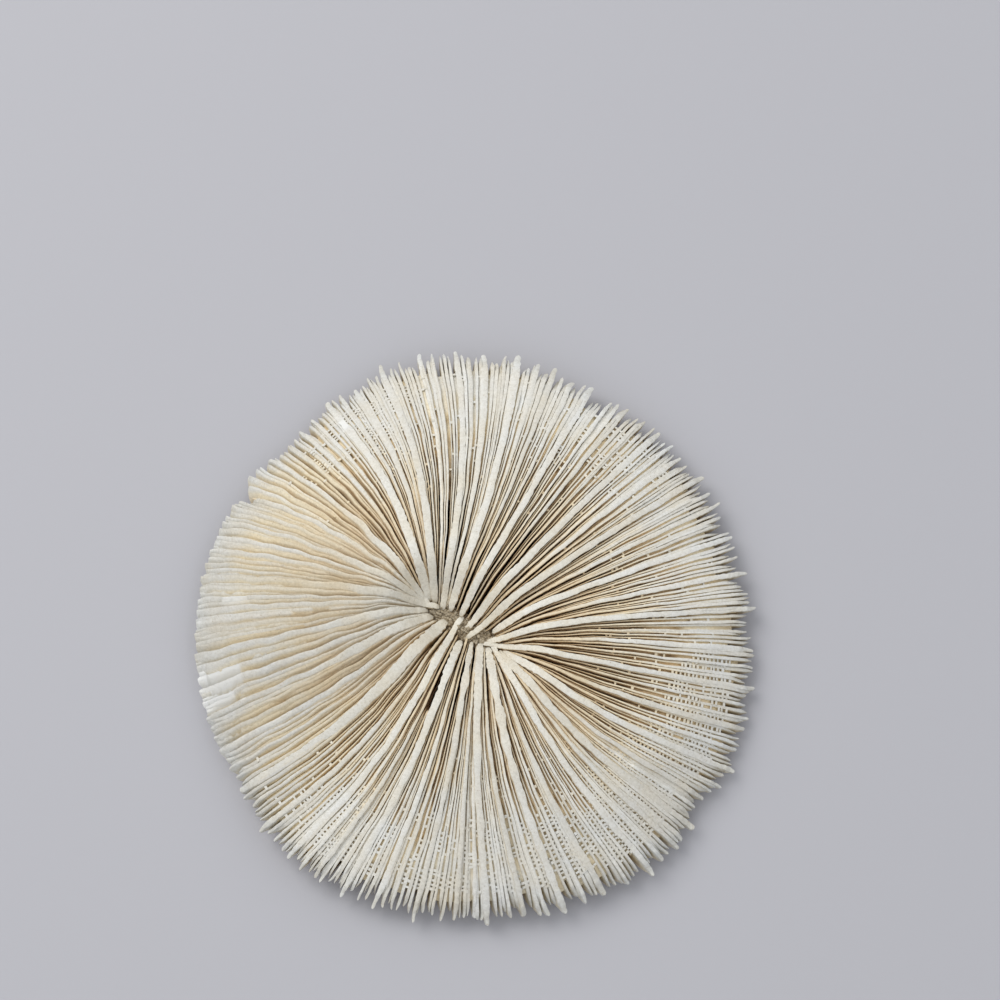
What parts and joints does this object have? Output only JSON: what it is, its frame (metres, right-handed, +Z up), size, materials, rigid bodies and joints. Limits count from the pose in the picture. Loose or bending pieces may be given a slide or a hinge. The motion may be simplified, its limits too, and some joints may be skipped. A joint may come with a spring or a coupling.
{
  "type": "mushroom coral skeleton",
  "caption": "Dry disc-shaped skeleton of a solitary mushroom coral: thin radiating blades from a slit-like mouth to a toothed rim, over a shallow ribbed base it rests on.",
  "frame": {"origin": "under the middle of the disc's outline, on the surface the coral rests on", "axes": "+Z up, out of the mouth; +X across the disc, with the mouth's slit running from upper left to lower right seen from above"},
  "size_m": [0.129, 0.1322, 0.023],
  "materials": {
    "coral": "dry, chalky and matte"
  },
  "bodies": {
    "root": {"coral_skeleton": "coral"}
  },
  "joints": []
}
